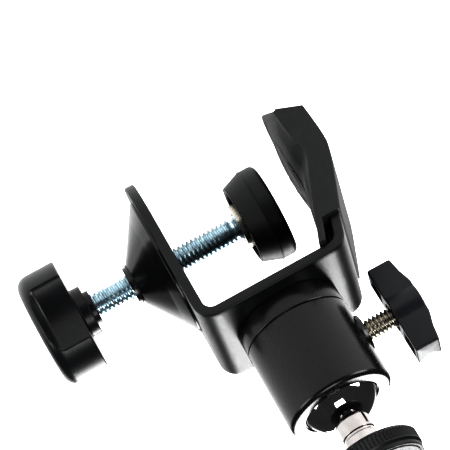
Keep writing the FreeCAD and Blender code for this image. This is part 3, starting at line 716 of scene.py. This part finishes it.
    def boot(self) -> bpy.types.Object:
        """The boot: an outer skin from tip to hem, turned in at the hem to the room for the steel.

        At each height the skin's section is a rectangle with rounded corners between the grip
        face and the outer face.  The grip face's points also carry the relief.

        Returns:
            The jaw boot with its tab.
        """
        ring, edge, room_edge, play = Ring.of(72), 0.5, 0.05, 0.03
        height, across = self.leg_rows(ring, edge, self.boot_half, 0.0, self.tip_slant)
        toward_hem = np.clip((height - self.bend_z) / (self.hem_z - self.bend_z), 0, 1)
        wall = self.boot_wall + (self.hem_wall - self.boot_wall) * toward_hem
        inner, outer = self.grip_x(height), self.leg_x(height, self.thick + wall, 0.9)
        depth = (ring.depth * edge)[None]
        stand = np.where(ring.flat()[None], self.relief(across, height), 0.0)
        x = np.where(ring.side[None] > 0, outer + depth, inner - depth + stand)
        skin = np.stack([x, across, height], axis=-1)
        room = self.boot_half - self.boot_side + play
        height, across = self.leg_rows(ring, room_edge, room, self.boot_side, 0.0)
        x = np.where(ring.side[None] > 0, self.leg_x(height, self.thick + play, 0.6),
                     self.leg_x(height, -play, 0.6))
        inside = np.stack([x, across, height], axis=-1)[::-1]
        shell = np.concatenate([self.tip_wall(skin[:1], 0.0, self.tip_slant / 2), skin, inside,
                                self.tip_wall(inside[-1:], self.boot_side, 0.0)])
        return piece("rubber_jaw_boot", [(shell, False), (self.tab(ring, edge), False)])

    def tab(self, ring: Ring, edge: float) -> Array:
        """The tab: the grip side's wall alone, from the hem to just short of the web.

        Args:
            ring: the section's points.
            edge: radius of the rounded edges.
        Returns:
            The grid of points, with both ends closed.
        """
        height = np.concatenate([[self.hem_z], np.linspace(self.hem_z, self.tab_z, 10), [self.tab_z]])
        shrink = np.ones_like(height)
        shrink[[0, -1]] = 0.0
        across = (self.boot_half - ring.inset * edge)[None] * ring.share[None] * shrink[:, None]
        face = self.grip_x(height)[:, None]
        thick = self.tab_thick / math.cos(math.radians(self.boot_lean))
        is_open = shrink[:, None] > 0
        depth = np.where(is_open, ring.depths(edge, thick), thick / 2)
        relief = self.relief(across, height[:, None])
        stand = np.where(ring.flat()[None] & is_open, relief, 0.0)
        rows = height[:, None] * np.ones_like(across)
        return np.stack([face - depth + stand, across, rows], axis=-1)

    def make(self, paint: Paint) -> None:
        """Build the three pieces, and put them on the frame in place of their CAD nodes."""
        for made, node, slot in ((self.strip(), "bracket", "frame_steel"),
                                 (self.boss(), "screw_boss", "boss_paint"),
                                 (self.boot(), "jaw_boot", "boot_rubber")):
            settle(made, "frame", slot, paint, node)


def settle(made: bpy.types.Object, body: str, slot: str, paint: Paint, *nodes: str) -> None:
    """Dress a piece, let it ride on its body, hide the CAD nodes that it stands for, and log it.

    Args:
        made: the piece.
        body: the CAD body that it moves with.
        slot: the record's material slot.
        paint: builder of the finishes.
        nodes: CAD nodes that it replaces.
    """
    paint.dress(made, slot)
    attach(made, body)
    if nodes:
        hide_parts(*nodes)
    size = np.array(made.dimensions) / MM
    LOG.info("%s rides on %s, %.1f x %.1f x %.1f mm, %d faces", made.name, body, *size,
             len(made.data.polygons))


# --- clamp screw, star knob and swivel pad ---
@dataclass
class ClampScrew:
    """Threaded rod, star knob on its outer end, and the rubber pad on its inner end."""

    rod_start: float = 27.5
    rod_end: float = 88.6
    rod_radius: float = 3.97
    rod_pitch: float = 1.411
    knob_start: float = 78.6
    knob_height: float = 13.0
    knob_radius: float = 17.6
    lobes: int = 3
    flute_radius: float = 18.2
    flute_centre: float = 29.5
    flute_floor: float = 1.8
    flute_turn_deg: float = 164.2
    flute_run_out: float = 2.6
    flute_rest: float = 0.6
    ridge_soft: float = 0.28
    corner: float = 3.8
    pad_face: float = 13.3
    pad_radius: float = 14.45

    def rod(self) -> bpy.types.Object:
        """The zinc-plated rod with its rolled thread."""
        grid = thread_grid(self.rod_start, self.rod_end, self.rod_radius, self.rod_pitch, Axis.PLUS_X,
                           (0, 0, 0))
        return piece("threaded_clamp_rod", [(grid, False)], 40.0)

    def lobed(self, height: Array, radius: Array, angle: Array) -> Array:
        """Cut the scoops between the lobes into a turned radius.

        Along a ray at an angle from a scoop's middle, the scoop's wall is where the ray meets a
        circle: centre distance times cosine, less the root of circle radius squared less the
        square of centre distance times sine.  The circle shrinks as a quarter ellipse towards the
        outer face, and a soft minimum rounds the ridges.

        Args:
            height: distance from the knob's inner face.
            radius: turned radius.
            angle: angle about the axis.
        Returns:
            The radius with the scoops.
        """
        span = 2 * math.pi / self.lobes
        off = np.mod(angle - math.radians(self.flute_turn_deg) + span / 2, span) - span / 2
        deep = self.knob_height - self.flute_floor - self.flute_run_out
        past = np.clip((height - deep) / self.flute_run_out, 0.0, 1.0)
        shallow = self.flute_centre - self.knob_radius - self.flute_rest
        circle = shallow + (self.flute_radius - shallow) * np.sqrt(1 - past ** 2)
        inside = circle ** 2 - (self.flute_centre * np.sin(off)) ** 2
        wall = self.flute_centre * np.cos(off) - np.sqrt(np.clip(inside, 0, None))
        beyond = 4.0 * np.sqrt(np.clip(-inside, 0, None))
        wall, soft = np.where(inside > 0, wall, wall + beyond), self.ridge_soft
        return -soft * np.logaddexp(-radius / soft, -wall / soft)

    def knob(self) -> bpy.types.Object:
        """The knob: inner face, lobed side, rounded outer corner and slightly domed outer face.

        On the inner face the radius is a share of the lobed edge, so that its rows follow the
        scoops.  The stepped hub is a second shell.

        Returns:
            The star knob.
        """
        top, rim, lip, dome_rise = self.knob_height, self.knob_radius, 0.5, 0.25
        turn = np.linspace(0, math.pi / 2, 12)
        shares = np.array([0.0, 0.3, 0.6, 0.8, 0.9, 0.96, 0.985])
        side = np.concatenate([
            np.stack([lip - lip * np.cos(turn[::3]), rim - lip + lip * np.sin(turn[::3])], axis=-1),
            np.stack([np.linspace(lip + 0.2, top - self.corner, 46), np.full(46, rim)], axis=-1),
            np.stack([top - self.corner + self.corner * np.sin(turn[1:]),
                      rim - self.corner + self.corner * np.cos(turn[1:])], axis=-1)])
        face = np.linspace(rim - self.corner, 0, 14)[1:]
        dome = np.stack([top + dome_rise * (1 - (face / (rim - self.corner)) ** 2), face], axis=-1)
        origin = (self.knob_start, 0, 0)
        body = turned(np.concatenate([side, dome]), Axis.PLUS_X, origin, 360, self.lobed)
        disc = shares[:, None, None] * (body[:1] - np.array(origin)) + np.array(origin)
        disc[..., 0] = self.knob_start
        hub = filleted([(0.05, 0, 0), (0.05, 8.4, 0), (-0.3, 7.7, 0.4), (-3.2, 7.6, 0.3), (-3.2, 5.35, 0.1),
                        (-4.8, 5.3, 0.25), (-4.8, 4.1, 0.1), (-4.2, 4.1, 0), (-4.2, 0, 0)])
        shells = [(np.concatenate([disc, body]), False),
                  (turned(hub, Axis.PLUS_X, origin), False)]
        return piece("three_lobe_knob", shells, 38.0)

    def pad(self) -> bpy.types.Object:
        """The pad: ringed face, rounded rim, band, thin parting ridge, cone and open back."""
        sunk, rim = 0.35, self.pad_radius
        edges = ((sunk, 2.0), (0, 2.4), (0, 4.6), (sunk, 4.9), (sunk, 7.0), (0, 7.3), (0, 9.4),
                 (sunk, 9.7), (sunk, 11.2), (0, 11.5))
        front = [(sunk, 0, 0), *((along, out, 0.1) for along, out in edges)]
        rest = [(0, rim, 1.7), (4.7, rim, 0.1), (4.85, 14.6, 0.1), (5.1, 14.6, 0.1), (5.25, 14.35, 0.1),
                (11.0, 12.2, 0.35), (11.0, 10.9, 0.35), (3.6, 11.95, 0.8), (3.6, 0, 0)]
        profile = filleted(front + rest)
        grid = turned(profile, Axis.PLUS_X, (self.pad_face, 0, 0), 120)
        return piece("rubber_swivel_pad", [(grid, False)])

    def make(self, paint: Paint) -> None:
        """Build the pieces and put them on their bodies."""
        settle(self.rod(), "clamp_screw", "rod_zinc", paint, "clamp_rod")
        settle(self.knob(), "clamp_screw", "knob_plastic", paint, "star_knob")
        pad = self.pad()
        settle(pad, "swivel_pad", "pad_rubber", paint, "rubber_pad")


# --- ball head ---
@dataclass
class BallHead:
    """Base, housing, ball, stem, platform with its rubber facing, and the stud."""

    axis_x: float = HEAD_AXIS_X
    base_z: float = 32.4
    seam_z: float = 39.0
    mouth_z: float = 65.8
    radius: float = 16.0
    ball_z: float = 59.7
    ball_radius: float = 12.5
    mouth_round: float = 1.4
    screw_z: float = LOCK_AXIS_Z
    stem_radius: float = 5.0
    deck_z: float = 82.0
    platform_radius: float = 14.0
    platform_thick: float = 5.0
    knurls: int = 72
    knurl_depth: float = 0.42

    def about(self, profile: Array, z: float, segments: int = 96,
              ripple: Ripple | None = None) -> Array:
        """Turn a profile about the head's axis, from a height upwards."""
        return turned(profile, Axis.PLUS_Z, (self.axis_x, 0, z), segments, ripple)

    def base(self) -> bpy.types.Object:
        """The base disc with softened edges and a narrow groove under the seam."""
        top, bore, rim, spigot = self.seam_z - self.base_z, 3.03, 15.9, 13.5
        profile = filleted([(0, bore, 0), (0, rim, 0.5), (top - 0.05, rim, 0.35), (top - 0.05, spigot, 0),
                            (top + 2.0, spigot, 0.2), (top + 2.0, bore, 0)], closed=True)
        return piece("head_base_disc", [(self.about(profile, self.base_z, 128), True)])

    def housing(self) -> bpy.types.Object:
        """The housing: straight wall, rounded mouth, spherical lip inside, and a side boss."""
        room, bore, side_bore = self.ball_radius + 0.2, 13.53, 3.23
        lip_low = self.mouth_z - 2.3
        heights = np.linspace(self.mouth_z - 0.35, lip_low, 6)
        lip = [(z - self.seam_z, math.sqrt(room ** 2 - (z - self.ball_z) ** 2), 0) for z in heights]
        tall = self.mouth_z - self.seam_z
        corners = [(0.05, bore, 0), (0.05, self.radius, 0.4), (tall, self.radius, self.mouth_round),
                   (tall, lip[0][1] + 0.35, 0.25), *lip, (lip_low - self.seam_z, bore, 0)]
        wall = self.about(filleted(corners, closed=True, steps=10), self.seam_z, 160)
        reach = self.radius + 0.7
        boss = filleted([(12.8, side_bore, 0), (12.8, 5.9, 0), (reach - 1.3, 5.9, 0.9),
                         (reach - 0.2, 5.4, 0.25), (reach, 5.1, 0.2), (reach, 3.5, 0.2),
                         (reach - 0.3, side_bore, 0)], closed=True)
        side = turned(boss, Axis.MINUS_X, (self.axis_x, 0, self.screw_z), 64)
        return piece("ball_housing", [(wall, True), (side, True)])

    def ball(self) -> bpy.types.Object:
        """The ball: a circle's arc turned about Z, with a small flat under the stem."""
        top = math.asin(math.sqrt(self.ball_radius ** 2 - self.stem_radius ** 2) / self.ball_radius)
        turn = np.linspace(-math.pi / 2, top, 80)
        arc = np.stack([self.ball_radius * np.sin(turn), self.ball_radius * np.cos(turn)], axis=-1)
        arc[0, 1] = 0.0
        profile = np.concatenate([arc, [[arc[-1, 0], 0.0]]])
        return piece("chrome_ball", [(self.about(profile, self.ball_z, 128), False)])

    def stem(self) -> bpy.types.Object:
        """The stem: straight neck with a shallow groove, flaring into the platform."""
        low = math.sqrt(self.ball_radius ** 2 - self.stem_radius ** 2) + self.ball_z + 0.05
        tall, neck, groove = self.deck_z - 0.05 - low, self.stem_radius, 4.7
        corners = [(0, 0, 0), (0, neck, 0.1), (4.2, neck, 0.1), (4.5, groove, 0.1), (5.1, groove, 0.1),
                   (5.4, neck, 0.1), (tall - 1.6, neck, 1.4), (tall, 6.6, 0), (tall, 0, 0)]
        return piece("chrome_stem", [(self.about(filleted(corners), low, 72), False)])

    def knurl(self, height: Array, radius: Array, angle: Array) -> Array:
        """Straight knurling: a triangle wave of the angle, only between the platform's chamfers."""
        wave = np.abs(np.mod(angle * self.knurls / (2 * math.pi), 1.0) * 2 - 1)
        band = np.clip((height - 0.9) / 0.3, 0, 1) * np.clip((4.1 - height) / 0.3, 0, 1)
        return radius - np.where(radius > self.platform_radius - 0.3, self.knurl_depth * wave * band, 0.0)

    def platform(self) -> bpy.types.Object:
        """The platform: chamfered disc with a straight-knurled rim."""
        thick, rim, face, slope = self.platform_thick, self.platform_radius, 13.3, 0.7
        corners = filleted([(0, 0, 0), (0, face, 0.2), (slope, rim, 0.1), (thick - slope, rim, 0.1),
                            (thick, face, 0.2), (thick, 0, 0)])
        low, high = corners[corners[:, 0] < 0.75], corners[corners[:, 0] > 4.2]
        side = np.stack([np.linspace(0.8, 4.2, 18), np.full(18, rim)], axis=-1)
        profile = np.concatenate([low, side, high])
        grid = self.about(profile, self.deck_z, self.knurls * 6, self.knurl)
        return piece("knurled_platform", [(grid, False)], 25.0)

    def facing(self) -> bpy.types.Object:
        """The rubber facing: a flat ring with three raised ribs."""
        hole, rim, deck, rib, soft = 4.2, 13.5, 1.3, 1.5, 0.05
        corners = [(0, hole, 0), (0, rim, 0.1), (deck, rim, 0.3)]
        for out in (12.6, 9.8, 7.0):
            corners += [(deck, out, soft), (rib, out - 0.3, soft), (rib, out - 1.0, soft),
                        (deck, out - 1.3, soft)]
        corners += [(deck, hole, 0)]
        grid = self.about(filleted(corners, closed=True), self.deck_z + self.platform_thick)
        return piece("platform_rubber_ring", [(grid, True)])

    def stud(self) -> bpy.types.Object:
        """The stud: a plain neck in the platform and a thread with a chamfered tip above it."""
        foot, shoulder, neck_radius = 83.55, 88.9, 2.6
        neck = filleted([(foot, 0, 0), (foot, neck_radius, 0.1), (shoulder, neck_radius, 0),
                         (shoulder, 0, 0)])
        thread = thread_grid(88.6, 94.0, QUARTER_INCH_RADIUS, QUARTER_INCH_PITCH, Axis.PLUS_Z,
                             (self.axis_x, 0, 0))
        shells = [(self.about(neck, 0, 48), False), (thread, False)]
        return piece("threaded_stud", shells, 40.0)

    def make(self, paint: Paint) -> None:
        """Build the pieces and put them on their bodies."""
        settle(self.base(), "frame", "head_alloy", paint, "head_base")
        settle(self.housing(), "frame", "head_alloy", paint, "housing_shell")
        settle(self.ball(), "ball", "ball_chrome", paint, "ball")
        settle(self.stem(), "platform", "stem_chrome", paint, "stem")
        settle(self.platform(), "platform", "platform_alloy", paint, "platform")
        facing = self.facing()
        settle(facing, "platform", "facing_rubber", paint, "platform_facing")
        settle(self.stud(), "platform", "stud_steel", paint, "mount_stud")


# --- wing screw ---
@dataclass
class WingScrew:
    """The screw that locks the ball and its moulded wing knob."""

    face_x: float = 0.9
    axis_z: float = LOCK_AXIS_Z
    half_length: float = 14.5
    half_breadth: float = 5.0
    hub: float = 6.2
    crown: float = 9.4
    end_depth: float = 7.4
    edge: float = 0.55
    pocket_depth: float = 4.6

    def screw(self) -> bpy.types.Object:
        """The nickel-plated screw from inside the knob to the brake shoe."""
        grid = thread_grid(13.0, 25.4 + 6.5, QUARTER_INCH_RADIUS, QUARTER_INCH_PITCH, Axis.MINUS_X,
                           (HEAD_AXIS_X, 0, self.axis_z))
        return piece("threaded_wing_screw", [(grid, False)], 40.0)

    def depth(self, z: Array) -> Array:
        """Thickness at a distance from the axis: flat over the hub, then falling to the ends."""
        return np.interp(np.abs(z), [0, 5.4, 7.2, 9.7, self.half_length],
                         [self.crown, self.crown - 0.1, 8.85, 8.1, self.end_depth])

    def breadth(self, z: Array) -> Array:
        """Half breadth: the wings' own, or the hub's circle where that is wider."""
        circle = np.sqrt(np.clip(self.hub ** 2 - z ** 2, 0, None))
        wings = self.half_breadth - 0.25 * np.clip(np.abs(z) / self.half_length, 0, 1) ** 2
        return np.maximum(wings, circle)

    def pocket(self, y: Array, z: Array) -> Array:
        """Depth of the two hollows in the inner face: a smooth step inside the wings' walls."""
        wall, wall_slope = 1.4, 0.35
        inside_y = self.breadth(z) - wall - np.abs(y)
        inside_z = np.minimum(self.half_length - wall - np.abs(z), np.abs(z) - self.hub - 0.3)
        return self.pocket_depth * np.clip(np.minimum(inside_y, inside_z) / wall_slope, 0, 1)

    def knob(self) -> bpy.types.Object:
        """The knob: a rounded rectangle at each distance along its length, closed at its ends.

        Returns:
            The wing knob.
        """
        ring, edge = Ring.of(56), self.edge
        turn = np.linspace(0, math.pi / 2, 6)
        body = np.linspace(-self.half_length + edge, self.half_length - edge, 180)
        low = -self.half_length + edge - edge * np.cos(turn)
        inset = edge * (1 - np.sin(turn))
        z = np.concatenate([[low[0]], low[:-1], body, -low[::-1][1:], [-low[0]]])[:, None]
        shrink = np.concatenate([[0], inset[:-1], np.zeros(len(body)), inset[::-1][1:], [0]])[:, None]
        is_open = np.ones_like(z)
        is_open[[0, -1]] = 0.0
        across = (self.breadth(z) - shrink - ring.inset * edge) * ring.share * is_open
        thick = self.depth(z)
        depth = ring.depths(edge, thick) + np.where(ring.side > 0, -shrink, shrink)
        depth = np.where(is_open > 0, depth, thick / 2)
        hollow = np.where(ring.flat()[None] & (is_open > 0), self.pocket(across, z), 0.0)
        grid = np.stack([self.face_x - depth - hollow, across,
                         self.axis_z + z * np.ones_like(across)], axis=-1)
        return piece("moulded_wing_knob", [(grid, False)], 28.0)

    def make(self, paint: Paint) -> None:
        """Build the pieces and put them on the wing screw's body."""
        settle(self.screw(), "wing_screw", "set_nickel", paint, "set_screw")
        settle(self.knob(), "wing_screw", "wing_plastic", paint, "wing_knob")


# --- studio ---
@dataclass
class Studio:
    """Pale light table, soft lights and the camera."""

    azimuth_deg: float = 4.19
    elevation_deg: float = 28.47
    roll_deg: float = 149.32
    distance: float = 590.0
    aim: tuple[float, float, float] = (27.8, 0.0, 20.0)
    slide: tuple[float, float] = (11.08, -16.97)
    lens: float = 162.37
    floor_z: float = -29.4
    floor_half: float = 4000.0
    floor_glow: float = 1.0
    ambient: float = 0.2
    tone_gamma: float = 0.64  # lifts the mid greys, so that black paint keeps its modelling

    def axes(self) -> tuple[Array, Array, Array]:
        """Return the camera's forward, right and up unit vectors."""
        azimuth, elevation = math.radians(self.azimuth_deg), math.radians(self.elevation_deg)
        roll = math.radians(self.roll_deg)
        forward = np.array([-math.sin(azimuth) * math.cos(elevation),
                            math.cos(azimuth) * math.cos(elevation), -math.sin(elevation)])
        level = np.cross(forward, (0, 0, 1))
        level /= np.linalg.norm(level)
        upright = np.cross(level, forward)
        right = math.cos(roll) * level + math.sin(roll) * upright
        up = -math.sin(roll) * level + math.cos(roll) * upright
        return forward, right, up

    def camera(self) -> None:
        """Place the camera back from the aim point, and slide it across the view."""
        forward, right, up = self.axes()
        shift = self.slide[0] * right
        spot = np.array(self.aim) - shift - self.slide[1] * up - self.distance * forward
        data = bpy.data.cameras.new("camera")
        data.lens, data.sensor_width = self.lens, 36.0
        data.clip_start, data.clip_end = 0.01, 20.0
        made = link("camera", data)
        turn = np.eye(4)
        turn[:3, 0], turn[:3, 1], turn[:3, 2], turn[:3, 3] = right, up, -forward, spot * MM
        made.matrix_world = Matrix(turn.tolist())
        bpy.context.scene.camera = made

    def floor(self) -> None:
        """A pale light table: matt white that also glows, so that shadows stay faint."""
        half = self.floor_half * MM
        mesh = bpy.data.meshes.new("light_table")
        corners = [(-half, -half, 0), (half, -half, 0), (half, half, 0), (-half, half, 0)]
        mesh.from_pydata(corners, [], [(0, 1, 2, 3)])
        mesh.transform(Matrix.Translation((0, 0, self.floor_z * MM)))
        made = link("light_table", mesh)
        surface = bpy.data.materials.new("opal_acrylic")
        surface.use_nodes = True
        tree = surface.node_tree
        shader = tree.nodes["Principled BSDF"]
        place = add(tree, "ShaderNodeTexCoord").outputs["Object"]
        cloud = add(tree, "ShaderNodeTexNoise", {"Vector": place, "Scale": 3.0})
        tone = add(tree, "ShaderNodeMix", {"Factor": cloud.outputs["Fac"], "A": srgb("f6f6f6"),
                                           "B": srgb("fbfbfb")}, data_type="RGBA")
        tree.links.new(tone.outputs["Result"], shader.inputs["Base Color"])
        shader.inputs["Roughness"].default_value = 0.9
        shader.inputs["Emission Color"].default_value = (1.0, 1.0, 1.0, 1.0)
        shader.inputs["Emission Strength"].default_value = self.floor_glow
        mesh.materials.append(surface)

    def softbox(self, name: str, spot: Sequence[float], size: float, power: float) -> None:
        """Add a square softbox that faces the object.

        Args:
            name: its name.
            spot: where it hangs, in millimetres.
            size: its side, in millimetres.
            power: its power in watts.
        """
        data = bpy.data.lights.new(name, "AREA")
        data.shape, data.size, data.energy = "SQUARE", size * MM, power
        made = link(name, data)
        made.location = Vector(spot) * MM
        aim = Vector(self.aim) * MM - made.location
        made.rotation_mode = "QUATERNION"
        made.rotation_quaternion = aim.to_track_quat("-Z", "Y")

    def make(self) -> None:
        """Build the studio."""
        self.camera()
        self.floor()
        world = bpy.data.worlds.new("studio")
        world.use_nodes = True
        sky = world.node_tree.nodes["Background"]
        sky.inputs["Color"].default_value = srgb("eef1f5")
        sky.inputs["Strength"].default_value = self.ambient
        bpy.context.scene.world = world
        bpy.context.scene.view_settings.view_transform = "Standard"
        bpy.context.scene.view_settings.gamma = self.tone_gamma
        for name, spot, size, power in (("overhead", (60, -250, 700), 300, 4.0),
                                        ("left", (-650, -350, 250), 400, 8.0),
                                        ("right", (700, -300, 200), 400, 5.0),
                                        ("back", (50, 700, 300), 400, 7.0)):
            self.softbox(name, spot, size, power)


def main() -> None:
    """Build the object's pieces in order, then the studio."""
    logging.basicConfig(level=logging.INFO, format="%(name)s: %(message)s")
    paint = Paint()
    for part in (BentFrame(), ClampScrew(), BallHead(), WingScrew()):
        part.make(paint)
    paint.dress_cad()
    Studio().make()


if __name__ == "__main__":
    main()
